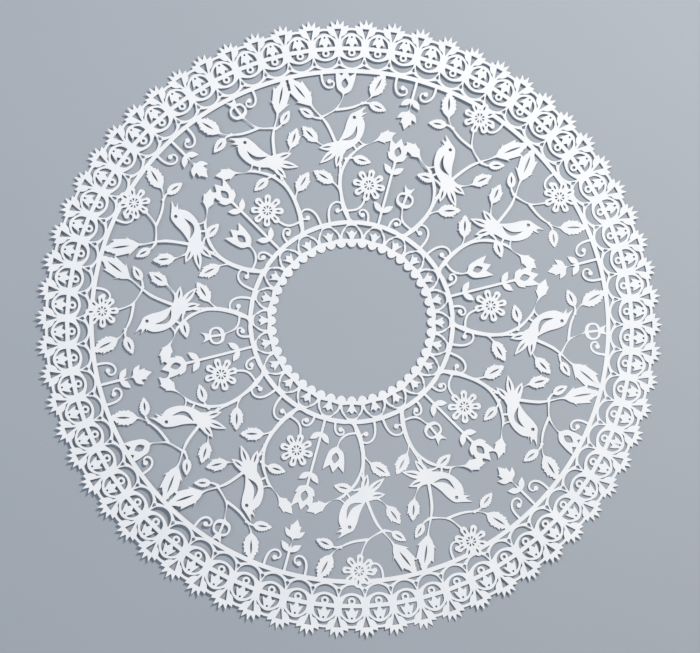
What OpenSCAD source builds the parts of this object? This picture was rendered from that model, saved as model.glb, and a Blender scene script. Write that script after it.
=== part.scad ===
// A round paper cutting: one sheet of white paper cut into a lace disc that lies flat.
// From the rim inwards: fans, a border of arched medallions, a field of bird branches
// and an arcade round an open middle. All sizes are in millimetres.

/* [Sheet] */
// Width of the sheet over the fan tips
sheet_d = 300; // [280:1:320]
// Thickness of the paper
paper_t = 0.2; // [0.1:0.05:0.4]
// Height by which the fan tips and the cut field stand off the table
lift = 0.03; // [0.01:0.01:0.08]

/* [Border] */
// Number of medallions round the border
medallions = 66; // [60:2:72]
// Width of the bar that runs through the medallions
bar_w = 2; // [1.4:0.1:2.6]
// Width of the ring between border and field
ring_w = 2.4; // [1.6:0.1:3]
// Number of spikes on a fan
fan_spikes = 5; // [3:1:7]

/* [Arcade] */
// Width of the inner ring over its middle line
inner_ring_d = 96.4; // [92:0.2:100]
// Width of the inner ring's strip
inner_ring_w = 2.6; // [1.8:0.1:3.4]
// Height of an arch from its base band to the ring's middle line
arch_h = 8.1; // [7:0.1:9]
// Width of the base band under the arches
base_w = 3.4; // [2.4:0.1:4.4]
// Number of arches round the open middle
arches = 24; // [20:2:28]
// Width of a scallop on the edge of the open middle
scallop_d = 4.6; // [4:0.1:5.2]

/* [Stems] */
// Width of a trunk at its foot
trunk_w = 2.4; // [1.8:0.1:3]
// Width of a bough
bough_w = 1.7; // [1.2:0.1:2.2]
// Width of a shoot
shoot_w = 1.2; // [0.8:0.1:1.6]

/* [Leaves] */
// Length of a toothed leaf
leaf_l = 13; // [11:0.5:15]
// Width of a toothed leaf
leaf_w = 8.5; // [7:0.5:9.5]
// Length of a plain leaf
blade_l = 6.5; // [5:0.5:7.5]
// Width of a plain leaf
blade_w = 3; // [2.2:0.1:3.6]
// Width of the slit cut along a leaf
slit_w = 0.9; // [0.5:0.1:1.2]

/* [Birds and flowers] */
// Length of a bird from beak to tail
bird_l = 29; // [26:0.5:31]
// Width of a bird's leg
leg_w = 1; // [0.7:0.1:1.3]
// Width of a daisy
daisy_d = 15; // [13:0.5:16]
// Number of petals of a daisy
petals = 8; // [6:1:10]
// Length of a tulip
tulip_l = 12; // [9:0.5:14]
// Width of a round fruit
fruit_d = 8.5; // [7:0.5:10]

/* [Hidden] */
paper_white = "#f3f5f7";
sector = 30;
// Heights in the border are shares of the width of one medallion, counted from the bar
fan_rise = 1.165;
ring_drop = 0.87;
bar_r = sheet_d / 2 / (1 + fan_rise * 2 * PI / medallions);
unit = 2 * PI * bar_r / medallions;
pitch = 360 / medallions;
bar_half = bar_w / 2 / unit;
ring_r = bar_r - ring_drop * unit;
inner_r = inner_ring_d / 2;
base_r = inner_r - arch_h;
arch_pitch = 360 / arches;
arch_half = PI * base_r / arches;

function polar(r, a) = [r * cos(a), r * sin(a)];
function arc(c, r, a0, a1, n) = [for (i = [0 : n]) c + polar(r, a0 + (a1 - a0) * i / n)];
function reversed(p) = [for (i = [len(p) - 1 : -1 : 0]) p[i]];
function mirrored(p) = [for (v = reversed(p)) [-v[0], v[1]]];
function flipped(p) = [for (v = reversed(p)) [v[0], -v[1]]];
// A place in the field: share of the way from inner to outer ring, degrees right of the branch's axis
function at(share, a) = polar(inner_r + share * (ring_r - inner_r), 90 - a);
// How far a line from p along angle a runs until it meets the ring
function to_ring(p, a) =
    let (d = p * polar(1, a))
    sqrt(d * d - p * p + ring_r * ring_r) - d;

// A stem is [start, end, bow]: an arc whose rise is bow times its chord, to the left when positive
function chord(s) = norm(s[1] - s[0]);
function rise(s) = s[2] * chord(s);
function curve_r(s) = (pow(chord(s) / 2, 2) + pow(rise(s), 2)) / (2 * abs(rise(s)));
function left_of(s) = [s[0][1] - s[1][1], s[1][0] - s[0][0]] / chord(s);
function hub(s) = (s[0] + s[1]) / 2 + left_of(s) * (rise(s) - sign(rise(s)) * curve_r(s));
function first_a(s) = let (v = s[0] - hub(s)) atan2(v[1], v[0]);
function swing(s) = -sign(rise(s)) * 2 * asin(chord(s) / 2 / curve_r(s));
function along(s, t) = hub(s) + polar(curve_r(s), first_a(s) + t * swing(s));
function heading(s, t) = first_a(s) + t * swing(s) + 90 * sign(swing(s));
function twig(parent, t, end, bow) = [along(parent, t), end, bow];

module disc(r, n, a = 0) polygon([for (i = [0 : n - 1]) polar(r, a + i * 360 / n)]);

module put(p, a) translate(p) rotate(a) children();

// Strip along a stem, its width running from w0 to w1
module stem(s, w0, w1, n = 3) {
    side = [for (i = [0 : n]) (w0 + (w1 - w0) * i / n) / 2 * polar(1, heading(s, i / n) + 90)];
    mid = [for (i = [0 : n]) along(s, i / n)];
    polygon(concat([for (i = [0 : n]) mid[i] - side[i]], [for (i = [n : -1 : 0]) mid[i] + side[i]]));
}

module bough(s) stem(s, bough_w, shoot_w);

module shoot(s) stem(s, shoot_w, 0.85 * shoot_w, 2);

// Toothed leaf from the origin along x
module leaf(l, teeth) {
    w = leaf_w / 2 * (0.3 + 0.7 * l / leaf_l);
    x = [for (i = [0 : teeth - 1]) (i + 0.7) / (teeth + 0.7)];
    y = [for (v = x) w * sin(180 * pow(v, 0.75))];
    edge = [for (i = [0 : teeth - 1], k = [1, 0]) [l * (x[i] + 0.03 + 0.04 * k), -y[i] * (0.74 + 0.26 * k)]];
    polygon(concat([[-0.2, -0.4]], edge, [[l, 0]], flipped(edge), [[-0.2, 0.4]]));
}

// A pair of plain pointed leaves at the origin, either side of a stem along x
module blades() for (k = [-1, 1]) rotate(48 * k) polygon([
    [0, -0.3], [0.45 * blade_l, -blade_w / 2], [blade_l, 0], [0.45 * blade_l, blade_w / 2], [0, 0.3]]);

// Straight stem along x from x0 to x1 with pairs of plain leaves, the last pair at its end
module spray(x0, x1, pairs, gap) {
    translate([x0, -shoot_w / 2]) square([x1 - x0, shoot_w]);
    for (i = [0 : pairs - 1]) translate([x1 - i * gap, 0]) blades();
}

module leaf_twig(s, l) {
    shoot(s);
    put(s[1], heading(s, 1)) leaf(l, 2);
}

// Leaf whose tip grows into the ring, with a slit for its midrib
module ring_leaf(p, a) {
    l = to_ring(p, a);
    put(p, a) difference() {
        leaf(l, 2);
        polygon([[0.24 * l, -slit_w / 2], [0.76 * l, 0], [0.24 * l, slit_w / 2]]);
    }
}

// Round-petalled flower with a pierced heart
module daisy() translate([0.42 * daisy_d, 0]) difference() {
    polygon([for (i = [1 : petals], v = [[0.5, -180], [0.97, -90], [0.97, 90]])
        polar(daisy_d / 2 * v[0], (360 * i + v[1]) / petals)]);
    disc(0.14 * daisy_d, 6);
}

// Three-petalled cup with a diamond cut in it
module tulip() difference() {
    polygon(tulip_l * [[-0.03, -0.05], [0.14, -0.26], [0.45, -0.36], [0.94, -0.42], [0.72, -0.17], [1, 0],
        [0.72, 0.17], [0.94, 0.42], [0.45, 0.36], [0.14, 0.26], [-0.03, 0.05]]);
    polygon(tulip_l * [[0.2, 0], [0.4, -0.14], [0.64, 0], [0.4, 0.14]]);
}

// Round fruit with a crown and an opening either side of its middle bar
module fruit() difference() {
    union() {
        translate([fruit_d / 2 - 0.5, 0]) disc(fruit_d / 2, 8);
        polygon(fruit_d * [[0.7, -0.12], [1.3, -0.3], [1.1, 0], [1.3, 0.3], [0.7, 0.12]]);
    }
    half = fruit_d * [[0.2, 0.07], [0.74, 0.07], [0.62, 0.34], [0.32, 0.34]];
    polygon(half);
    polygon(flipped(half));
}

// Flower at the end of a shoot
module flower_twig(s, kind) {
    shoot(s);
    put(s[1], heading(s, 1)) {
        if (kind == "daisy") daisy();
        if (kind == "tulip") tulip();
        if (kind == "fruit") fruit();
    }
}

// Outline of a songbird that faces right, its feet at the origin, in shares of its length
bird_head = [[0.33, 0.41], [0.45, 0.45], [0.31, 0.48], [0.22, 0.5], [0.13, 0.46], [0, 0.36], [-0.14, 0.28]];
bird_tail = [[-0.34, 0.36], [-0.47, 0.31], [-0.35, 0.25], [-0.55, 0.18], [-0.34, 0.16], [-0.44, 0.02], [-0.28, 0.06]];
bird_belly = [[-0.12, 0.115], [0.05, 0.12], [0.2, 0.19], [0.29, 0.29], [0.31, 0.37], [0.41, 0.365]];
bird_wing = [[-0.13, 0.27], [0.03, 0.19], [0.18, 0.3], [0.04, 0.24]];
function facing(p, side) = side > 0 ? p : mirrored(p);

module bird(side) difference() {
    union() {
        polygon(bird_l * facing(concat(bird_head, bird_tail, bird_belly), side));
        for (x = bird_l * [-0.03, 0.08]) polygon(facing([
            [x - leg_w / 2, 0.17 * bird_l], [1.4 * x - leg_w / 2, -0.2],
            [1.4 * x + leg_w / 2, -0.2], [x + leg_w / 2, 0.17 * bird_l]], side));
    }
    translate(bird_l * [side * 0.22, 0.42]) disc(0.028 * bird_l, 4);
    polygon(bird_l * facing(bird_wing, side));
}

// Branch with a bird on its lower bough, to the right when side is 1, and a flower low and high.
// The fork is the height at which the trunk parts, as a share of the field.
module branch(side, fork, low, high) {
    trunk = [at(-0.01, 0), at(fork, -4 * side), 0.09 * side];
    riser = twig(trunk, 1, at(0.79, -10.5 * side), -0.1 * side);
    perch = twig(trunk, 0.86, at(fork + 0.2, 8 * side), 0.14 * side);
    crown = twig(riser, 0.78, at(0.85, -2 * side), -0.16 * side);
    arm = twig(crown, 0.45, at(0.84, 5 * side), -0.1 * side);
    stem(trunk, trunk_w, bough_w);
    bough(riser);
    bough(perch);
    put(along(perch, 0.62), heading(perch, 0.62) - (side > 0 ? 0 : 180)) bird(side);
    ring_leaf(riser[1], heading(riser, 1) - 8 * side);
    flower_twig(crown, high);
    shoot(arm);
    ring_leaf(arm[1], heading(arm, 1) + 16 * side);
    flower_twig(twig(trunk, 0.25, at(0.17, 6.5 * side), -0.2 * side), low);
    leaf_twig(twig(trunk, 0.5, at(0.27, -7.5 * side), -0.14 * side), 0.85 * leaf_l);
    leaf_twig(twig(riser, 0.3, at(0.55, -10.8 * side), 0.14 * side), 0.8 * leaf_l);
    put(perch[1], heading(perch, 1) + 6 * side) leaf(0.75 * leaf_l, 2);
}

// Plants between the birds of a pair: one grows up from the arcade, the other hangs from the ring
module plants() rotate(90 - sector / 2) {
    foot = inner_r + 0.44 * (ring_r - inner_r);
    tip = inner_r + 0.78 * (ring_r - inner_r);
    spray(inner_r, foot, 2, blade_l);
    translate([foot, 0]) tulip();
    translate([tip, 0]) mirror([1, 0]) {
        spray(tip - ring_r, 0, 2, blade_l);
        leaf(0.7 * leaf_l, 2);
    }
}

// Twelve branches: the birds face each other in pairs, and two kinds of pair take turns
module field() for (i = [0 : 2]) rotate(-4 * sector * i) {
    plants();
    rotate(-2 * sector) plants();
    branch(1, 0.36, "daisy", "tulip");
    rotate(-sector) branch(-1, 0.32, "fruit", "daisy");
    rotate(-2 * sector) branch(1, 0.33, "tulip", "daisy");
    rotate(-3 * sector) branch(-1, 0.37, "daisy", "fruit");
}

// Top of a medallion's arch, seen with its axis along y and the bar at 0
module arch_top() polygon(unit * [[0.42, 0.5], [0.28, 0.76], [-0.28, 0.76], [-0.42, 0.5]]);

// Crescents and windows cut out of a medallion, with a bellflower standing on the bar
module medallion_cuts() {
    polygon(unit * concat(
        arc([0, 0.285], 0.44, 8, 172, 3),
        [[0, 0.61]]));
    polygon(unit * concat(
        arc([0, -0.3], 0.45, -178, -2, 4),
        [[0, -0.47]]));
    polygon(unit * concat(
        [[0.37, bar_half]],
        arc([0, 0.12], 0.38, 32, 148, 3),
        [[-0.37, bar_half], [-0.05, bar_half], [-0.18, 0.33], [0, 0.41], [0.18, 0.33], [0.05, bar_half]]));
    polygon(unit * [[-0.34, -bar_half], [-0.19, -0.32], [0.19, -0.32], [0.34, -bar_half]]);
}

module fan() polygon(unit * concat(
    [[0.3, 0.56]],
    [for (i = [0 : 2 * fan_spikes - 2])
        let (k = i / (fan_spikes - 1) - 1)
        [0, 0.56] + polar(i % 2 == 0 ? fan_rise - 0.56 - 0.06 * k * k : 0.38, 90 + 50 * k)],
    [[-0.3, 0.56]]));

module border() difference() {
    union() {
        disc(bar_r + 0.6 * unit, medallions, pitch / 2);
        for (i = [1 : medallions]) rotate(i * pitch) translate([0, bar_r]) arch_top();
    }
    disc(ring_r - ring_w / 2, medallions, pitch / 2);
    for (i = [1 : medallions]) rotate(i * pitch) translate([0, bar_r]) medallion_cuts();
}

module fans() for (i = [1 : medallions]) rotate((i + 0.5) * pitch) translate([0, bar_r]) fan();

// Round-headed window with a tulip standing in it, seen with its axis along y and the base band at 0
module arch_cuts() {
    r = 0.84 * arch_half;
    top = arch_h - inner_ring_w / 2 - 0.8;
    polygon(concat(
        [[r, 0.3]],
        arc([0, top - r], r, 15, 165, 3),
        [[-r, 0.3], [-shoot_w / 2, 0], [-0.62 * r, 0.68 * top], [0, 0.5 * top],
            [0.62 * r, 0.68 * top], [shoot_w / 2, 0]]));
}

module arcade() difference() {
    disc(inner_r + inner_ring_w / 2, 2 * arches, arch_pitch / 4);
    for (i = [1 : arches]) rotate(i * arch_pitch) translate([0, base_r]) arch_cuts();
    difference() {
        disc(base_r - base_w / 2, 2 * arches);
        for (i = [1 : 2 * arches]) rotate(i * arch_pitch / 2) translate([base_r - base_w / 2, 0]) disc(scallop_d / 2, 5, 36);
    }
}

// The sheet rests on its border; the fan tips and the cut field stand a hair above it
module cut_sheet() color(paper_white) {
    linear_extrude(paper_t) border();
    translate([0, 0, lift]) linear_extrude(paper_t) fans();
    translate([0, 0, lift]) linear_extrude(paper_t) {
        field();
        arcade();
    }
}

cut_sheet();
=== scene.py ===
"""Looks of a round paper cutting that lies on a pale floor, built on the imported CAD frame."""
import logging
import math
from collections import Counter, defaultdict, deque
from collections.abc import Sequence
from dataclasses import dataclass, field, replace
from enum import Enum
from typing import TypeVar

import bpy
from mathutils import Matrix, Vector, noise
from mathutils.geometry import delaunay_2d_cdt


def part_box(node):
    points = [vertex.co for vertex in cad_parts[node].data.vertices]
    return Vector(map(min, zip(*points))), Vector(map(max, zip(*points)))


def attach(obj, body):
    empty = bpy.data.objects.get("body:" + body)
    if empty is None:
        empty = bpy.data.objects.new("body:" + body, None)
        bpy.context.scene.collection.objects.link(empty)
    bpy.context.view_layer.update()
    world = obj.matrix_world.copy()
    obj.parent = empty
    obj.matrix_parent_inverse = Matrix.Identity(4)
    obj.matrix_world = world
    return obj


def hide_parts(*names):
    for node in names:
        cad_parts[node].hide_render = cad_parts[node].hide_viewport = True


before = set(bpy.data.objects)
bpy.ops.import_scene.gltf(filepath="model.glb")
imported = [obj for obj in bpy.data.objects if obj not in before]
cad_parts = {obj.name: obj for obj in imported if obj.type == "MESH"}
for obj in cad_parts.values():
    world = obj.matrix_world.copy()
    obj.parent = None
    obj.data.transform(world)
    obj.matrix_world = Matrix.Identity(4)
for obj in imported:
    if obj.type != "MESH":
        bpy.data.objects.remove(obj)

LOG = logging.getLogger("paper_cutting")

MM = 0.001
NODE = "cut_sheet"
BODY = "root"
# The photograph's frame, and where the middle of the disc lies in it, in pixels
IMAGE_WIDTH, IMAGE_HEIGHT = 700, 653
MIDDLE_PX = (351.7, 321.6)

# Width of the camera's sensor
SENSOR_MM = 36
# A CAD face lies at one of the sheet's heights if its normal is this upright and its middle this near
UPRIGHT = 0.9
LEVEL_MM = 0.005
# Points of the mesh that are nearer than this become one
MERGE_MM = 1e-5
# Sockets of the mix node when it mixes colours: several share a name, so they go by number
MIX_SHARE, MIX_FROM, MIX_TO, MIX_RESULT = 0, 6, 7, 2

Item = TypeVar("Item")
Point = tuple[float, float]
Loop = list[Point]
Colour = tuple[float, float, float, float]


class Role(Enum):
    """What an outline is: one of the two heights of the CAD sheet, or fine knife work.

    A cut takes away CAD paper, a strip stands whatever is cut, and a piercing goes through all.
    """

    BORDER = "border"
    RAISED = "raised"
    CUT = "cut"
    STRIP = "strip"
    PIERCING = "piercing"


class Face(Enum):
    """Material slots of the lace mesh."""

    SHEET = 0
    CUT = 1


# An outline's role, with its number where outlines of that role may lie over each other
Area = tuple[Role, int]


def linear(hex_colour: str) -> Colour:
    """Turns an sRGB colour into the linear one that the shader takes.

    Args:
        hex_colour: Colour as "#rrggbb".

    Returns:
        Linear red, green and blue, with alpha 1.
    """
    shares = [int(hex_colour[i:i + 2], 16) / 255 for i in (1, 3, 5)]
    red, green, blue = (s / 12.92 if s <= 0.04045 else ((s + 0.055) / 1.055) ** 2.4 for s in shares)
    return red, green, blue, 1.0


def add_node(tree: bpy.types.NodeTree, kind: str, settings: dict[str | int, object] | None = None,
             links: dict[str | int, bpy.types.NodeSocket] | None = None) -> bpy.types.Node:
    """Adds one shader node, sets it up and links its inputs.

    Args:
        tree: Node tree that gets the node.
        kind: Blender's name of the node type.
        settings: Values by input name or number, or by property name where there is no such input.
        links: Output sockets by the name or number of the input that they feed.

    Returns:
        The new node.
    """
    node = tree.nodes.new(kind)
    for name, value in (settings or {}).items():
        if isinstance(name, int) or name in node.inputs:
            node.inputs[name].default_value = value
        else:
            setattr(node, name, value)
    for name, socket in (links or {}).items():
        tree.links.new(socket, node.inputs[name])
    return node


def new_tree(name: str) -> tuple[bpy.types.Material, bpy.types.NodeTree]:
    """Makes an empty node material.

    Args:
        name: Name of the material.

    Returns:
        The material and its node tree.
    """
    material = bpy.data.materials.new(name)
    material.use_nodes = True
    material.node_tree.nodes.clear()
    return material, material.node_tree


@dataclass(frozen=True)
class MatteFinish:
    """A matt surface whose colour clouds between two tones and whose fibres stand up a little.

    Attributes:
        name: Name of the material.
        light: Lighter tone, sRGB.
        shade: Darker tone, sRGB.
        cloud_mm: Width of a cloud of tone.
        fibre_mm: Width of the fine relief.
        relief_mm: Height of the fine relief.
        roughness: Roughness of the surface.
    """

    name: str
    light: str
    shade: str
    cloud_mm: float
    fibre_mm: float
    relief_mm: float
    roughness: float

    def build(self) -> bpy.types.Material:
        """Makes the material.

        Returns:
            The new material.
        """
        material, tree = new_tree(self.name)
        place = add_node(tree, "ShaderNodeTexCoord").outputs["Object"]
        cloud = add_node(tree, "ShaderNodeTexNoise",
                         {"Scale": 1 / (self.cloud_mm * MM), "Detail": 3.0, "Roughness": 0.55},
                         {"Vector": place})
        fibre = add_node(tree, "ShaderNodeTexNoise",
                         {"Scale": 1 / (self.fibre_mm * MM), "Detail": 4.0, "Roughness": 0.65},
                         {"Vector": place})
        tone = add_node(tree, "ShaderNodeMix",
                        {"data_type": "RGBA", MIX_FROM: linear(self.shade), MIX_TO: linear(self.light)},
                        {MIX_SHARE: cloud.outputs["Fac"]})
        bump = add_node(tree, "ShaderNodeBump",
                        {"Distance": self.relief_mm * MM, "Strength": 1.0},
                        {"Height": fibre.outputs["Fac"]})
        shader = add_node(tree, "ShaderNodeBsdfPrincipled",
                          {"Roughness": self.roughness, "Specular IOR Level": 0.25},
                          {"Base Color": tone.outputs[MIX_RESULT], "Normal": bump.outputs["Normal"]})
        add_node(tree, "ShaderNodeOutputMaterial", links={"Surface": shader.outputs["BSDF"]})
        return material


# Drawing paper: bright and matt, with cool clouds from the pulp and a fine tooth. The tooth of the real
# paper is too fine to show, so it is drawn coarser.
PAPER = MatteFinish("drawing_paper", "#fafbfc", "#eef2f6", 14, 0.9, 0.04, 0.9)
# Cut edge of the paper: open fibres, drawn coarser too, in a tone a little darker than the pressed face:
# painted shade on the sheet's cut sides
SHADED_CUT_EDGE = MatteFinish("cut_paper_edge_painted_shade", "#f0f1f2", "#e2e5e8", 3, 0.3, 0.05, 0.95)
# Painted board under the sheet: pale blue grey, so that the white lace reads against it
FLOOR = MatteFinish("painted_board", "#aeb5bd", "#a8b0b8", 160, 1.4, 0.03, 0.8)


def edges_of(ring: Sequence[Item]) -> list[tuple[Item, Item]]:
    """Gives the pairs of neighbours round a ring, the last one paired with the first."""
    return list(zip(ring, [*ring[1:], *ring[:1]]))


def centre(loop: list[Vector]) -> Vector:
    """Gives the mean of a loop's points."""
    return sum(loop, Vector((0, 0))) / len(loop)


def turn_deg(before: Vector, here: Vector, after: Vector) -> float:
    """Gives how far an outline turns at a point.

    Args:
        before: The point before.
        here: The point itself.
        after: The point after.

    Returns:
        The turn in degrees, without its sign.
    """
    return math.degrees(abs((here - before).angle_signed(after - here, 0.0)))


def compactness(loop: list[Vector]) -> float:
    """Compares a loop with a circle of the same edge length.

    Args:
        loop: Points of the loop.

    Returns:
        1 for a circle, and less for anything else.
    """
    area = abs(sum(a.x * b.y - a.y * b.x for a, b in edges_of(loop))) / 2
    edge = sum((b - a).length for a, b in edges_of(loop))
    return 4 * math.pi * area / edge ** 2


def nearest(loops: list[list[Vector]], place: Vector) -> Vector:
    """Finds the point on the loops that is nearest to a place.

    Args:
        loops: The loops.
        place: The place.

    Returns:
        The nearest point.
    """
    found = []
    for loop in loops:
        for a, b in edges_of(loop):
            share = (place - a).dot(b - a) / (b - a).length_squared
            found.append(a.lerp(b, min(max(share, 0), 1)))
    return min(found, key=lambda p: (p - place).length)


@dataclass
class Outline:
    """Outlines of the CAD sheet, read from its mesh, with the knife's curves drawn smooth.

    Attributes:
        corner_deg: A point that turns further than this stays a corner.
        slight_deg: The same for a point between a long edge and a short one.
        uneven: Edges are long and short when their lengths differ by this factor.
        step_mm: Longest piece of a smooth curve.
        straight_mm: Longest piece of a straight edge.
        reach: Longest tangent of a curve, in lengths of the edges at its point.
        round_from: A small hole that is more compact than this was punched round.
        round_mm: Such a hole is smaller than this all round.
    """

    corner_deg: float = 74
    slight_deg: float = 30
    uneven: float = 3.5
    step_mm: float = 1.2
    straight_mm: float = 3.0
    reach: float = 1.6
    round_from: float = 0.7
    round_mm: float = 12

    def read(self, mesh: bpy.types.Mesh) -> dict[Role, list[Loop]]:
        """Reads the loops of both heights.

        Args:
            mesh: Mesh of the CAD sheet, in metres.

        Returns:
            The loops of each height, in millimetres.
        """
        heights = [v.co.z for v in mesh.vertices]
        return {Role.BORDER: self.loops(mesh, min(heights), -1),
                Role.RAISED: self.loops(mesh, max(heights), 1)}

    @staticmethod
    def loops(mesh: bpy.types.Mesh, height: float, way: int) -> list[Loop]:
        """Finds the edge loops of the flat faces at one height.

        Args:
            mesh: Mesh of the CAD sheet.
            height: Height of the faces.
            way: 1 for faces that look up, -1 for faces that look down.

        Returns:
            The loops, in millimetres.
        """
        # Edges that only one face has, in a dict because it keeps their order
        single: dict[tuple[Point, Point], None] = {}
        for polygon in mesh.polygons:
            if polygon.normal.z * way < UPRIGHT or abs(polygon.center.z - height) > LEVEL_MM * MM:
                continue
            corners = [tuple(round(c / MM, 4) for c in mesh.vertices[i].co.xy) for i in polygon.vertices]
            for a, b in edges_of(corners):
                if (b, a) in single:
                    del single[(b, a)]
                else:
                    single[(a, b)] = None
        onward: dict[Point, list[Point]] = defaultdict(list)
        for a, b in single:
            onward[a].append(b)
        loops = []
        while onward:
            start = next(iter(onward))
            loop = [start]
            while True:
                follow = onward[loop[-1]]
                after = follow.pop()
                if not follow:
                    del onward[loop[-1]]
                if after == start:
                    break
                loop.append(after)
            loops.append(loop)
        return loops

    def smooth(self, loop: Loop) -> Loop:
        """Draws a smooth curve through the soft points of a loop and keeps its corners.

        Args:
            loop: Points of the loop, in millimetres.

        Returns:
            The finer loop.
        """
        points = [Vector(p) for p in loop]
        count = len(points)
        edge = sum((points[i] - points[i - 1]).length for i in range(count))
        punched = edge < self.round_mm and compactness(points) > self.round_from
        soft = [punched or self.is_soft(points[i - 1], points[i], points[(i + 1) % count])
                for i in range(count)]
        finer: Loop = []
        for i in range(count):
            j = (i + 1) % count
            chord = points[j] - points[i]
            longest = self.step_mm if soft[i] or soft[j] else self.straight_mm
            pieces = max(1, math.ceil(chord.length / longest))
            start = self.tangent(points, i, chord.length) if soft[i] else None
            end = self.tangent(points, j, chord.length) if soft[j] else None
            # At a corner the curve runs out straight, so the tangent there follows from the other one
            start, end = (start or (1.5 * chord - 0.5 * end if end else chord),
                          end or (1.5 * chord - 0.5 * start if start else chord))
            for k in range(pieces):
                t = k / pieces
                place = ((1 + 2 * t) * (1 - t) ** 2 * points[i] + t * (1 - t) ** 2 * start
                         + t * t * (3 - 2 * t) * points[j] - t * t * (1 - t) * end)
                finer.append((place.x, place.y))
        return finer

    def is_soft(self, before: Vector, here: Vector, after: Vector) -> bool:
        """Tells a point on a curve from a corner.

        Args:
            before: The point before.
            here: The point itself.
            after: The point after.

        Returns:
            Whether the outline runs smoothly through the point.
        """
        short, long = sorted(((here - before).length, (after - here).length))
        limit = self.corner_deg if long < self.uneven * short else self.slight_deg
        return turn_deg(before, here, after) < limit

    def tangent(self, points: list[Vector], i: int, length: float) -> Vector:
        """Gives the direction of the curve at a soft point, as on a circle through its neighbours.

        Args:
            points: Points of the loop.
            i: Index of the point.
            length: Greatest length of the tangent.

        Returns:
            The tangent.
        """
        into = points[i] - points[i - 1]
        out = points[(i + 1) % len(points)] - points[i]
        blend = into.normalized() * out.length + out.normalized() * into.length
        return blend.normalized() * min(length, self.reach * into.length, self.reach * out.length)


def both_sides(half: Loop) -> Loop:
    """Completes a motif that is the same on both sides of its y axis.

    Args:
        half: Its right half, from one end of the axis to the other.

    Returns:
        The whole motif.
    """
    return half + [(-x, y) for x, y in reversed(half) if x]


def dot(x: float, y: float, radius: float, points: int = 8) -> Loop:
    """Draws a round dot.

    Args:
        x: Middle of the dot.
        y: Middle of the dot.
        radius: Its radius.
        points: Number of its points.

    Returns:
        The dot's outline.
    """
    turns = [2 * math.pi * i / points for i in range(points)]
    return [(x + radius * math.cos(t), y + radius * math.sin(t)) for t in turns]


def lens(start: Point, end: Point, width: float) -> Loop:
    """Draws a slim form that is pointed at both ends, such as a slit, a blade or a feather.

    Args:
        start: One end.
        end: The other end.
        width: Width in the middle.

    Returns:
        The form's outline.
    """
    a, b = Vector(start), Vector(end)
    side = (b - a).orthogonal().normalized() * width / 2
    return [tuple(p) for p in (a, (a + b) / 2 - side, b, (a + b) / 2 + side)]


def tendril(length: float, wind_deg: float, width: float, steps: int = 14, tighten: float = 2.4,
            taper: float = 0.3) -> Loop:
    """Draws a tendril that starts along y and winds up to the right, tighter and tighter.

    Args:
        length: Length along its middle.
        wind_deg: Angle that it winds through.
        width: Width at its foot.
        steps: Number of its pieces.
        tighten: Power of the way along it that the angle grows with.
        taper: Share of the width that is gone at its end.

    Returns:
        The tendril's outline.
    """
    place = Vector((0, 0))
    left, right = [], []
    for i in range(steps + 1):
        share = i / steps
        way = math.radians(90 - wind_deg * share ** tighten)
        side = Vector((-math.sin(way), math.cos(way))) * width * (1 - taper * share) / 2
        left.append(tuple(place + side))
        right.append(tuple(place - side))
        place = place + Vector((math.cos(way), math.sin(way))) * length / steps
    return right + left[::-1]


# Motifs of the border in shares of a medallion's width: x along the bar, y outwards from its middle.
# The first four stand on a medallion's axis, the others between two medallions.
BELLFLOWER = both_sides([(0.045, 0.05), (0.045, 0.2), (0.1, 0.205), (0.24, 0.14), (0.2, 0.29), (0.14, 0.42),
                         (0.1, 0.52)])
BOWL = both_sides([(0, -0.375), (0.18, -0.33), (0.3, -0.2), (0.34, -0.08)])
DROP = dot(0, -0.165, 0.145)
PIERCINGS = (dot(0, 0.45, 0.04), dot(0, -0.165, 0.065))
GAPS = (both_sides([(0, 0.37), (0.13, 0.78)]),
        both_sides([(0, -0.63), (0.07, -0.57), (0, -0.42)]),
        both_sides([(0, -0.67), (0.11, -0.73), (0.27, -0.8)]))
# Motifs of the arcade in millimetres: x along the base band, y outwards from it
ARCH_HEAD = both_sides([(0, 5.2), (3.2, 4.9), (2.4, 6.0), (0, 6.7)])
ARCH_TULIP = both_sides([(0.8, -0.3), (1.2, 1.5), (1.3, 2.8), (0, 4.5)])
ARCH_GAP = both_sides([(0, 2.3), (0.9, 4.0), (1.7, 5.0), (2.9, 6.0), (3.9, 7.2)])
# A leaf in shares of its length: half its width at the foot, and its teeth, each with its place along the
# axis and its distance from it. The tooth stands a step past that place, and its notch a step before it
# and nearer to the axis by a factor.
LEAF_FOOT = 0.03
LEAF_TEETH = ((0.16, 0.21), (0.31, 0.28), (0.45, 0.285), (0.58, 0.26), (0.71, 0.21), (0.83, 0.13))
LEAF_NOTCH = 0.84
LEAF_STEP = 0.02
LEAF = both_sides([
    (LEAF_FOOT, 0),
    *(p for x, y in LEAF_TEETH for p in ((y * LEAF_NOTCH, x - LEAF_STEP), (y, x + LEAF_STEP))),
    (0, 1)])
# Where the slit of a leaf's midrib starts and ends, in the same shares
MIDRIB = (0.24, 0.76)
# A CAD leaf: distance from its tip to its foremost teeth in the same shares, how many times the short
# edge of a tooth the long one is at least, and how far inside the border's ring its tip lies at least
LEAF_TIP = 0.3004
TOOTH_RATIO = 2.5
TIP_INSIDE_MM = 1
# A loop that is less compact than this is a slit
NARROW = 0.35
# Lengths that differ by less are taken for the same: edges of one leaf, and radii of one daisy's heart
SAME_EDGE_MM = 0.01
SAME_RADIUS_MM = 0.05
# Pair of plain leaves on a straight stem, in millimetres
BLADES = (lens((0, -0.4), (4.7, 4.2), 2.9), lens((0, -0.4), (-4.7, 4.2), 2.9))
# A CAD daisy in shares of its width: radius of the six-sided opening in its heart, radius of the notches
# between its petals, and how exactly a point has to lie there to be such a notch
HEART_SIDES = 6
HEART_SHARE = 0.14
NOTCH_SHARE = 0.25
NOTCH_EXACT = 0.02
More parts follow.
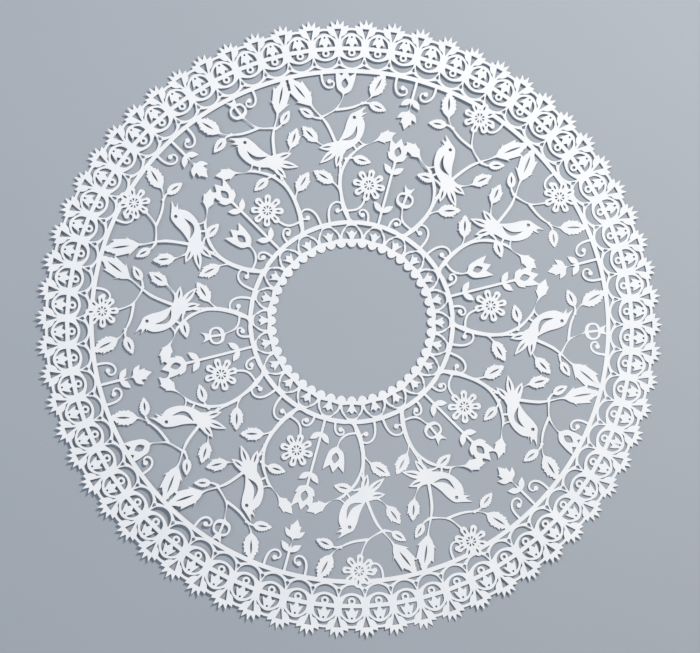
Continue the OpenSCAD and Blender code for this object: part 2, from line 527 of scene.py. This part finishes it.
# Motifs of a daisy in the same shares, y along a petal: new heart, round end of a petal, openings
HEART = dot(0, 0, 0.17, 16)
PETAL_END = dot(0, 0.42, 0.11)
PETAL_OPENINGS = (both_sides([(0, 0.055), (0.035, 0.155)]), lens((0, 0.27), (0, 0.44), 0.06))
# A CAD bird's wing slit in shares of the bird's length: rear end, counted from the feet, and span
WING_REAR = (-0.13, 0.27)
WING_SPAN = (0.31, 0.03)
# Longest edge of a CAD bird's eye
EYE_MM = 1.5
# A fuller bird that faces right, drawn over the CAD one, in the same shares: body, feathers, openings
BIRD = [(0.39, 0.45), (0.54, 0.49), (0.36, 0.52), (0.26, 0.54), (0.14, 0.49), (0, 0.39), (-0.16, 0.31),
        (-0.3, 0.27), (-0.3, 0.15), (-0.14, 0.09), (0.06, 0.09), (0.24, 0.17), (0.35, 0.29), (0.375, 0.4),
        (0.49, 0.4)]
FEATHERS = (((-0.22, 0.22), (-0.53, 0.4)), ((-0.22, 0.2), (-0.68, 0.18)), ((-0.22, 0.18), (-0.5, -0.04)))
FEATHER_WIDTH = 0.13
BIRD_OPENINGS = (dot(0.265, 0.46, 0.03), [(-0.14, 0.28), (0.04, 0.18), (0.22, 0.33), (0.05, 0.25)])
# Where the slit of a feather starts and ends along it, and its width
FEATHER_SLIT = (0.4, 0.85)
FEATHER_SLIT_WIDTH = 0.03


@dataclass(frozen=True)
class Seat:
    """A place on the sheet that a motif is drawn at.

    Attributes:
        middle: Where the motif's origin lies, in millimetres.
        angle: Direction of the motif's x axis, in radians.
        scale: Millimetres for one unit of the motif.
        hand: 1, or -1 for a motif that is turned over.
    """

    middle: Vector
    angle: float
    scale: float = 1.0
    hand: int = 1

    @classmethod
    def round_middle(cls, radius: float, degrees: float, lean_deg: float = 0, scale: float = 1.0,
                     hand: int = 1) -> "Seat":
        """Makes a seat whose y axis points away from the middle of the sheet.

        Args:
            radius: Distance from the middle, in millimetres.
            degrees: Direction from the middle.
            lean_deg: Angle by which the motif leans to the left.
            scale: Millimetres for one unit of the motif.
            hand: 1, or -1 for a motif that is turned over.

        Returns:
            The seat.
        """
        way = math.radians(degrees)
        middle = Vector((math.cos(way), math.sin(way))) * radius
        return cls(middle, way + math.radians(lean_deg - 90), scale, hand)

    @classmethod
    def from_tip(cls, tip: Vector, way: Vector, length: float) -> "Seat":
        """Makes a seat for a motif that is one unit long.

        Args:
            tip: Where the motif's far end lies, in millimetres.
            way: Direction of the motif's y axis.
            length: Length of the motif, in millimetres.

        Returns:
            The seat.
        """
        return cls(tip - way.normalized() * length, math.atan2(way.y, way.x) - math.pi / 2, length)

    def put(self, motif: Loop) -> Loop:
        """Draws a motif at this seat."""
        turn = Matrix.Rotation(self.angle, 2)
        return [tuple(self.middle + turn @ Vector((self.hand * x, y)) * self.scale) for x, y in motif]


@dataclass(frozen=True)
class Sprig:
    """A tendril or a leaf on a short stem, as seen on a branch whose bird sits on the right.

    Attributes:
        share: Where it grows, as a share of the way from the arcade's ring to the border's ring.
        degrees: The same in degrees to the right of the branch's axis.
        lean_deg: Angle by which it leans to the left.
        length_mm: Length of the tendril or the stem.
        hand: 1 if it winds to the right, -1 if to the left.
        leaf_mm: Length of the leaf, or 0 for a tendril.
    """

    share: float
    degrees: float
    lean_deg: float
    length_mm: float
    hand: int
    leaf_mm: float = 0


# Tendrils of a branch: two hang from the border's ring, two stand on the arcade
TENDRILS = (Sprig(1.0, 10.4, 176, 18, -1), Sprig(1.0, -6.9, 178, 16, -1), Sprig(0.0, 9.0, 0, 13, -1),
            Sprig(0.0, -12.6, -4, 21, 1))
# Leaves of a branch: left of its riser, over the bird, and inside the bough that the bird sits on
LEAVES = (Sprig(0.70, -8.6, 80, 3.5, 1, 8), Sprig(0.768, 3.3, -80, 3.5, 1, 9),
          Sprig(0.42, -2.2, -76, 3.5, 1, 9))


@dataclass
class Carving:
    """Knife work that is finer than the CAD sheet, seated on the sheet's own outlines.

    Attributes:
        medallions: Number of medallions round the border.
        fan_rise: Height of a fan over the bar, as a share of a medallion's width.
        arches: Number of arches round the open middle.
        arch_base_mm: Distance from the middle to the base band of the arches.
        rings_mm: Distances from the middle to the rings of the arcade and the border.
        branches: Number of branches.
        petals: Number of petals of a daisy.
        vine_mm: Width of a tendril or a stem at its foot, and radius of the bud that ends a tendril.
        root: Radius of the dot at the foot of a leaf's stem, in widths of the stem.
        wind_deg: Angle that a tendril winds through.
        bend_deg: Angle that the stem of a leaf bends through.
        full_leaf_mm: Length of a leaf that has its full width.
        midrib_mm: Width of the slit in a leaf.
        spray_mm: Distances from the middle to the added pairs of plain leaves.
        loops: Outlines of the fine work by what they do to the sheet, in millimetres.
    """

    medallions: int = 66
    fan_rise: float = 1.165
    arches: int = 24
    arch_base_mm: float = 40.1
    rings_mm: tuple[float, float] = (48.2, 123.8)
    branches: int = 12
    petals: int = 8
    vine_mm: float = 1.2
    root: float = 0.7
    wind_deg: float = 330
    bend_deg: float = 30
    full_leaf_mm: float = 13.2
    midrib_mm: float = 0.95
    spray_mm: tuple[float, ...] = (55.5,)
    loops: dict[Role, list[Loop]] = field(
        default_factory=lambda: {Role.CUT: [], Role.STRIP: [], Role.PIERCING: []})

    def build(self, outlines: dict[Role, list[Loop]]) -> dict[Role, list[Loop]]:
        """Draws all the fine work.

        Args:
            outlines: Loops of the CAD sheet, in millimetres.

        Returns:
            Loops of the fine work.
        """
        raised = [[Vector(p) for p in loop] for loop in outlines[Role.RAISED]]
        self.carve_border(max(p.length for loop in raised for p in loop))
        self.carve_arcade()
        self.carve_leaves(raised)
        self.carve_daisies(raised)
        self.carve_birds(raised)
        self.grow_sprigs(raised)
        self.grow_sprays()
        LOG.info("carving: %s", {role.value: len(loops) for role, loops in self.loops.items()})
        return self.loops

    def carve_border(self, radius: float) -> None:
        """Puts a bellflower and a drop into each medallion and opens the gaps between them.

        Args:
            radius: Distance from the middle to the fan tips.
        """
        bar = radius / (1 + self.fan_rise * 2 * math.pi / self.medallions)
        unit = 2 * math.pi * bar / self.medallions
        for i in range(self.medallions):
            degrees = 90 + 360 / self.medallions * i
            seat = Seat.round_middle(bar, degrees, scale=unit)
            self.add(Role.CUT, seat, BOWL)
            self.add(Role.STRIP, seat, BELLFLOWER, DROP)
            self.add(Role.PIERCING, seat, *PIERCINGS)
            between = Seat.round_middle(bar, degrees + 180 / self.medallions, scale=unit)
            self.add(Role.CUT, between, *GAPS)

    def carve_arcade(self) -> None:
        """Opens the arches and the gaps between them, and fills the tulips that stand in them."""
        for i in range(self.arches):
            degrees = 90 + 360 / self.arches * i
            seat = Seat.round_middle(self.arch_base_mm, degrees)
            self.add(Role.CUT, seat, ARCH_HEAD)
            self.add(Role.STRIP, seat, ARCH_TULIP)
            self.add(Role.CUT, Seat.round_middle(self.arch_base_mm, degrees + 180 / self.arches), ARCH_GAP)

    def carve_leaves(self, raised: list[list[Vector]]) -> None:
        """Gives each leaf fine teeth and a slit for its midrib.

        Args:
            raised: Loops of the raised part of the sheet.
        """
        for loop in raised:
            # A leaf that ends in the ring has lost its tip there, so its CAD slit is looked for
            if len(loop) == 3 and compactness(loop) < NARROW:
                end = max(loop, key=lambda p: sum((p - q).length for q in loop))
                # A triangle is half as long again as the way from its centre to its tip
                slit = 1.5 * (end - centre(loop))
                self.add_leaf(Seat.from_tip(end + slit * (1 - MIDRIB[1]) / (MIDRIB[1] - MIDRIB[0]), slit,
                                            slit.length / (MIDRIB[1] - MIDRIB[0])))
                continue
            # Any other leaf is known by the four edges on either side of its tip: two teeth, mirrored
            for i, apex in enumerate(loop):
                around = [loop[(i + k) % len(loop)] for k in range(-4, 5)]
                edges = [(b - a).length for a, b in zip(around, around[1:])]
                even = all(abs(a - b) < SAME_EDGE_MM for a, b in zip(edges[:4], edges[:3:-1]))
                toothed = min(edges[1] / edges[0], edges[3] / edges[2]) > TOOTH_RATIO
                if even and toothed and apex.length < self.rings_mm[1] - TIP_INSIDE_MM:
                    axis = apex - (around[2] + around[6]) / 2
                    self.add_leaf(Seat.from_tip(apex, axis, axis.length / LEAF_TIP))

    def carve_daisies(self, raised: list[list[Vector]]) -> None:
        """Rounds the petals of each daisy, slits them and pierces its heart like a wheel.

        Args:
            raised: Loops of the raised part of the sheet.
        """
        for heart in raised:
            middle = centre(heart)
            reach = [(p - middle).length for p in heart]
            if len(heart) != HEART_SIDES or max(reach) - min(reach) > SAME_RADIUS_MM:
                continue
            width = reach[0] / HEART_SHARE
            notches = [p - middle for loop in raised for p in loop
                       if abs((p - middle).length - NOTCH_SHARE * width) < NOTCH_EXACT * width]
            # The notches' mean direction within one petal's angle; the petals lie half a petal further
            phase = sum((Vector((math.cos(self.petals * a), math.sin(self.petals * a)))
                         for a in (math.atan2(n.y, n.x) for n in notches)), Vector((0, 0)))
            first = (math.atan2(phase.y, phase.x) + math.pi) / self.petals
            self.add(Role.STRIP, Seat(middle, 0, width), HEART)
            for i in range(self.petals):
                seat = Seat(middle, first + 2 * math.pi * i / self.petals - math.pi / 2, width)
                self.add(Role.STRIP, seat, PETAL_END)
                self.add(Role.PIERCING, seat, *PETAL_OPENINGS)

    def carve_birds(self, raised: list[list[Vector]]) -> None:
        """Draws a fuller bird with slit feathers over each CAD bird.

        Args:
            raised: Loops of the raised part of the sheet.
        """
        # The eye and the wing slit of a CAD bird have four points each
        small = [loop for loop in raised if len(loop) == 4]
        eyes = [centre(loop) for loop in small if max((a - b).length for a, b in edges_of(loop)) < EYE_MM]
        for wing in small:
            if compactness(wing) > NARROW:
                continue
            eye = min(eyes, key=lambda e: (e - wing[0]).length)
            front, *_, rear = sorted(wing, key=lambda p: (p - eye).length)
            ahead = front - rear
            length = ahead.length / math.hypot(*WING_SPAN)
            hand = 1 if ahead.cross(eye - rear) > 0 else -1
            level = math.atan2(ahead.y, ahead.x) - hand * math.atan2(WING_SPAN[1], WING_SPAN[0])
            upright = level if hand > 0 else level - math.pi
            feet = Seat(Vector((0, 0)), upright, length, hand).put([WING_REAR])[0]
            seat = Seat(rear - Vector(feet), upright, length, hand)
            self.add(Role.STRIP, seat, BIRD, *(lens(a, b, FEATHER_WIDTH) for a, b in FEATHERS))
            slits = [[Vector(a).lerp(Vector(b), share) for share in FEATHER_SLIT] for a, b in FEATHERS]
            self.add(Role.PIERCING, seat, *BIRD_OPENINGS,
                     *(lens(a, b, FEATHER_SLIT_WIDTH) for a, b in slits))

    def grow_sprigs(self, raised: list[list[Vector]]) -> None:
        """Fills the open places of the field with tendrils that end in a bud, and with leaves.

        Args:
            raised: Loops of the raised part of the sheet, which the leaves grow from.
        """
        inner, outer = self.rings_mm
        for i in range(self.branches):
            side = 1 if i % 2 == 0 else -1
            for sprig in TENDRILS + LEAVES:
                seat = Seat.round_middle(inner + sprig.share * (outer - inner),
                                         90 - 360 / self.branches * i - side * sprig.degrees,
                                         side * sprig.lean_deg, hand=side * sprig.hand)
                wind = self.bend_deg if sprig.leaf_mm else self.wind_deg
                vine = tendril(sprig.length_mm, wind, self.vine_mm)
                tip = (Vector(vine[len(vine) // 2 - 1]) + Vector(vine[len(vine) // 2])) / 2
                if sprig.leaf_mm:
                    seat = replace(seat, middle=nearest(raised, seat.middle))
                    self.add(Role.STRIP, seat, vine, dot(0, 0, self.root * self.vine_mm))
                    way = seat.angle - seat.hand * math.radians(wind)
                    self.add_leaf(Seat(Vector(seat.put([tuple(tip)])[0]), way, sprig.leaf_mm))
                else:
                    self.add(Role.STRIP, seat, vine, dot(tip.x, tip.y, self.vine_mm))

    def grow_sprays(self) -> None:
        """Adds pairs of plain leaves to the straight stems between the birds."""
        for i in range(self.branches // 2):
            degrees = 90 - 360 / self.branches * (2 * i + 0.5)
            for radius in self.spray_mm:
                self.add(Role.STRIP, Seat.round_middle(radius, degrees), *BLADES)

    def add_leaf(self, seat: Seat) -> None:
        """Draws a toothed leaf with the slit of its midrib, a long leaf no wider than a full one.

        Args:
            seat: Where the leaf grows, with its length as the scale.
        """
        slim = min(1, self.full_leaf_mm / seat.scale)
        self.add(Role.STRIP, seat, [(x * slim, y) for x, y in LEAF])
        self.add(Role.PIERCING, seat, lens((0, MIDRIB[0]), (0, MIDRIB[1]), self.midrib_mm / seat.scale))

    def add(self, role: Role, seat: Seat, *motifs: Loop) -> None:
        """Draws motifs at a seat.

        Args:
            role: What the motifs do to the sheet.
            seat: Where they are drawn.
            *motifs: Their outlines.
        """
        self.loops[role] += [seat.put(motif) for motif in motifs]


@dataclass
class PaperLace:
    """The cut sheet: a thin mesh inside the outlines, gently lifted as loose paper lies.

    Attributes:
        outline: How the outlines are read and smoothed.
        carving: Fine work that is added to them.
        grain_mm: Distance of the points inside the sheet.
        sway_mm: Height and width of the sheet's long waves.
        ripple_mm: Height and width of its short waves.
        curl_mm: Height by which the fan tips curl up, and how far in from the rim that starts.
        curl_mean: Share of that height that the uneven curl has on average.
        curl_wave_mm: Width of the curl's unevenness.
        levels_mm: Heights in the noise at which the long waves, the short ones and the curl are read.
        margin_mm: How far the points inside the sheet go on past its rim.
        radius_mm: Distance from the middle to the fan tips, read from the frame.
        thick_mm: Thickness, which is the height of the CAD sheet, read from the frame.
    """

    outline: Outline = field(default_factory=Outline)
    carving: Carving = field(default_factory=Carving)
    grain_mm: float = 3.4
    sway_mm: tuple[float, float] = (0.8, 95)
    ripple_mm: tuple[float, float] = (0.7, 26)
    curl_mm: tuple[float, float] = (0.7, 9)
    curl_mean: float = 0.6
    curl_wave_mm: float = 17
    levels_mm: tuple[float, float, float] = (31, 77, 5)
    margin_mm: float = 20
    radius_mm: float = 0.0
    thick_mm: float = 0.0

    def build(self, source: bpy.types.Object) -> bpy.types.Object:
        """Builds the lace from the CAD sheet.

        Args:
            source: The CAD node's object.

        Returns:
            The lace object, in metres.
        """
        outlines = self.outline.read(source.data)
        outlines |= self.carving.build(outlines)
        loops = {role: [self.outline.smooth(loop) for loop in rings] for role, rings in outlines.items()}
        low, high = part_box(NODE)
        self.radius_mm = (high[0] - low[0]) / 2 / MM
        self.thick_mm = (high[2] - low[2]) / MM
        places, triangles = self.triangulate(loops)
        lace = bpy.data.objects.new("paper_lace", self.thicken(places, triangles))
        bpy.context.scene.collection.objects.link(lace)
        LOG.info("lace: %d loops, %d faces", sum(map(len, loops.values())), len(lace.data.polygons))
        return lace

    def triangulate(self, loops: dict[Role, list[Loop]]) -> tuple[list[Point], list[tuple[int, int, int]]]:
        """Fills the outlines with triangles.

        Args:
            loops: Loops by what they are, in millimetres.

        Returns:
            Points, and the triangles that are paper.
        """
        points: list[Vector] = []
        edges: list[tuple[int, int]] = []
        owner: list[Area] = []
        for role, rings in loops.items():
            whole = role in (Role.BORDER, Role.RAISED)
            for number, ring in enumerate(rings):
                first = len(points)
                points += [Vector(p) for p in ring]
                edges += [(first + i, first + (i + 1) % len(ring)) for i in range(len(ring))]
                owner += [(role, 0 if whole else number)] * len(ring)
        points += self.grid()
        places, cut_edges, faces, _, sources, _ = delaunay_2d_cdt(points, edges, [], 0, MERGE_MM)
        # Areas that begin or end at an edge: two outlines of one area that share an edge cancel out
        crossed: dict[tuple[int, int], frozenset[Area]] = {}
        for edge, origins in zip(cut_edges, sources):
            times = Counter(owner[origin] for origin in origins)
            crossed[tuple(sorted(edge))] = frozenset(area for area in times if times[area] % 2)
        inside = self.flood(faces, crossed)
        paper = [tuple(faces[f]) for f, areas in inside.items() if self.is_paper(areas)]
        return [(p.x, p.y) for p in places], paper

    @staticmethod
    def flood(faces: list[list[int]],
              crossed: dict[tuple[int, int], frozenset[Area]]) -> dict[int, frozenset[Area]]:
        """Finds the areas that each triangle lies in, from a triangle at the rim to its neighbours.

        Args:
            faces: All triangles by point number.
            crossed: Areas that begin or end at each edge.

        Returns:
            The areas by the triangle's number.
        """
        sides: dict[tuple[int, int], list[int]] = defaultdict(list)
        for f, corners in enumerate(faces):
            for edge in edges_of(corners):
                sides[tuple(sorted(edge))].append(f)
        rim = next(f for fs in sides.values() if len(fs) == 1 for f in fs)
        inside: dict[int, frozenset[Area]] = {rim: frozenset()}
        queue = deque([rim])
        while queue:
            f = queue.popleft()
            for edge in edges_of(faces[f]):
                key = tuple(sorted(edge))
                for g in sides[key]:
                    if g not in inside:
                        inside[g] = inside[f] ^ crossed[key]
                        queue.append(g)
        return inside

    @staticmethod
    def is_paper(areas: frozenset[Area]) -> bool:
        """Tells whether paper is left where the given areas lie over each other.

        Args:
            areas: The areas.

        Returns:
            Whether paper is left.
        """
        roles = {role for role, _ in areas}
        sheet = roles & {Role.BORDER, Role.RAISED} and Role.CUT not in roles
        return bool(sheet or Role.STRIP in roles) and Role.PIERCING not in roles

    def grid(self) -> list[Vector]:
        """Gives points spread over a square that the disc lies in, every other row half a step aside.

        Returns:
            The points, in millimetres.
        """
        reach = self.radius_mm + self.margin_mm
        rows = math.ceil(2 * reach / self.grain_mm)
        spread = [-reach + 2 * reach * i / rows for i in range(rows + 1)]
        return [Vector((x + 0.5 * self.grain_mm * (j % 2), y)) for j, y in enumerate(spread) for x in spread]

    def lift(self, x: float, y: float) -> float:
        """Gives how far the sheet stands off the floor.

        Args:
            x: Place on the sheet, in millimetres.
            y: Place on the sheet, in millimetres.

        Returns:
            The height in millimetres.
        """
        widths = (self.sway_mm[1], self.ripple_mm[1], self.curl_wave_mm)
        sway, ripple, uneven = (noise.noise(Vector((x, y, level)) / width)
                                for level, width in zip(self.levels_mm, widths))
        curl = max(0.0, (math.hypot(x, y) - self.radius_mm) / self.curl_mm[1] + 1)
        return (self.sway_mm[0] * sway + self.ripple_mm[0] * ripple
                + self.curl_mm[0] * curl ** 2 * (self.curl_mean + uneven))

    def thicken(self, places: list[Point], triangles: list[tuple[int, int, int]]) -> bpy.types.Mesh:
        """Gives the flat triangles the paper's thickness and its gentle waves.

        Args:
            places: Points in the plane, in millimetres.
            triangles: Triangles by point number.

        Returns:
            The closed mesh, in metres.
        """
        used = sorted({i for t in triangles for i in t})
        number = {i: k for k, i in enumerate(used)}
        heights = [self.lift(*places[i]) for i in used]
        floor = min(heights)
        count = len(used)
        verts = [(places[i][0] * MM, places[i][1] * MM, (h - floor + up) * MM)
                 for up in (self.thick_mm, 0.0) for i, h in zip(used, heights)]
        top = [tuple(number[i] for i in t) for t in triangles]
        edges = {edge for t in top for edge in edges_of(t)}
        rim = sorted((a, b) for a, b in edges if (b, a) not in edges)
        bottom = [tuple(count + i for i in reversed(t)) for t in top]
        walls = [(b, a, count + a, count + b) for a, b in rim]
        mesh = bpy.data.meshes.new("paper_lace")
        mesh.from_pydata(verts, [], top + bottom + walls)
        flat = len(top) + len(bottom)
        # Top and bottom take the paper; the walls take the cut edge, whose darker tone is painted shade
        for polygon in mesh.polygons:
            polygon.use_smooth = True
            polygon.material_index = (Face.SHEET if polygon.index < flat else Face.CUT).value
        sharp = {tuple(sorted(e)) for a, b in rim for e in ((a, b), (count + a, count + b))}
        for e in mesh.edges:
            e.use_edge_sharp = tuple(sorted(e.vertices)) in sharp
        return mesh

    def dress(self, lace: bpy.types.Object) -> None:
        """Gives the lace its paper and ties it to the frame.

        Args:
            lace: The lace object.
        """
        for finish in (PAPER, SHADED_CUT_EDGE):
            lace.data.materials.append(finish.build())
        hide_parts(NODE)
        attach(lace, BODY)


@dataclass(frozen=True)
class SoftLight:
    """A square area light that looks at the middle of the sheet.

    Attributes:
        name: Name of the light.
        place_m: Where it hangs.
        width_m: Width of its square.
        watts: Its power.
        colour: Its colour, sRGB.
    """

    name: str
    place_m: tuple[float, float, float]
    width_m: float
    watts: float
    colour: str

    def build(self) -> None:
        """Hangs the light."""
        data = bpy.data.lights.new(self.name, "AREA")
        data.size = self.width_m
        data.energy = self.watts
        data.color = linear(self.colour)[:3]
        light = bpy.data.objects.new(self.name, data)
        light.location = self.place_m
        light.rotation_euler = (-Vector(self.place_m)).to_track_quat("-Z", "Y").to_euler()
        bpy.context.scene.collection.objects.link(light)


# A small key light at the upper right, whose shadows are still clear, and a cool, wider fill at the left
LIGHTS = (SoftLight("key", (0.55, 0.6, 1.0), 0.28, 13.0, "#fffaf4"),
          SoftLight("fill", (-0.9, -0.1, 0.9), 1.0, 4.0, "#dbe8ff"))


@dataclass
class Studio:
    """Floor, soft lights and camera.

    Attributes:
        tilt_deg: Angle between the view and straight down.
        toward: Direction from the middle to the point below the camera.
        distance_mm: Distance from the camera to the middle.
        lens_mm: Focal length of the camera.
        floor_m: Width of the floor.
        sky: Colour of the light from all sides, sRGB.
        sky_strength: Strength of that light.
    """

    tilt_deg: float = 10.4
    toward: tuple[float, float] = (-0.34, -0.94)
    distance_mm: float = 1050
    lens_mm: float = 113
    floor_m: float = 6
    sky: str = "#eef2f8"
    sky_strength: float = 0.3

    def build(self) -> None:
        """Builds the whole stage."""
        self.build_floor()
        self.build_lights()
        self.build_camera()

    def build_floor(self) -> None:
        """Lays the floor that the sheet rests on."""
        half = self.floor_m / 2
        corners = [(-half, -half, 0), (half, -half, 0), (half, half, 0), (-half, half, 0)]
        mesh = bpy.data.meshes.new("floor")
        mesh.from_pydata(corners, [], [(0, 1, 2, 3)])
        mesh.materials.append(FLOOR.build())
        floor = bpy.data.objects.new("floor", mesh)
        bpy.context.scene.collection.objects.link(floor)

    def build_lights(self) -> None:
        """Hangs the lights and sets the weak light from all sides."""
        for light in LIGHTS:
            light.build()
        world = bpy.data.worlds.new("studio")
        world.use_nodes = True
        background = world.node_tree.nodes["Background"]
        background.inputs["Color"].default_value = linear(self.sky)
        background.inputs["Strength"].default_value = self.sky_strength
        bpy.context.scene.world = world

    def build_camera(self) -> None:
        """Puts the camera where the photograph was taken from."""
        lean = math.sin(math.radians(self.tilt_deg))
        away = Vector((self.toward[0], self.toward[1], 0)).normalized() * lean
        way = Vector((away.x, away.y, math.cos(math.radians(self.tilt_deg))))
        mm_per_px = SENSOR_MM / IMAGE_WIDTH * self.distance_mm / self.lens_mm
        aim = Vector((IMAGE_WIDTH / 2 - MIDDLE_PX[0], MIDDLE_PX[1] - IMAGE_HEIGHT / 2, 0)) * mm_per_px * MM
        data = bpy.data.cameras.new("camera")
        data.lens = self.lens_mm
        data.sensor_width = SENSOR_MM
        camera = bpy.data.objects.new("camera", data)
        camera.location = aim + way * self.distance_mm * MM
        right = Vector((0, 1, 0)).cross(way).normalized()
        camera.rotation_euler = Matrix((right, way.cross(right), way)).transposed().to_euler()
        bpy.context.scene.collection.objects.link(camera)
        bpy.context.scene.camera = camera


def main() -> None:
    """Builds the lace and its stage."""
    logging.basicConfig(level=logging.INFO, format="%(name)s: %(message)s")
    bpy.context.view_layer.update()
    lace = PaperLace()
    piece = lace.build(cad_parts[NODE])
    lace.dress(piece)
    Studio().build()
    bpy.context.scene.view_settings.view_transform = "Standard"


if __name__ == "__main__":
    main()
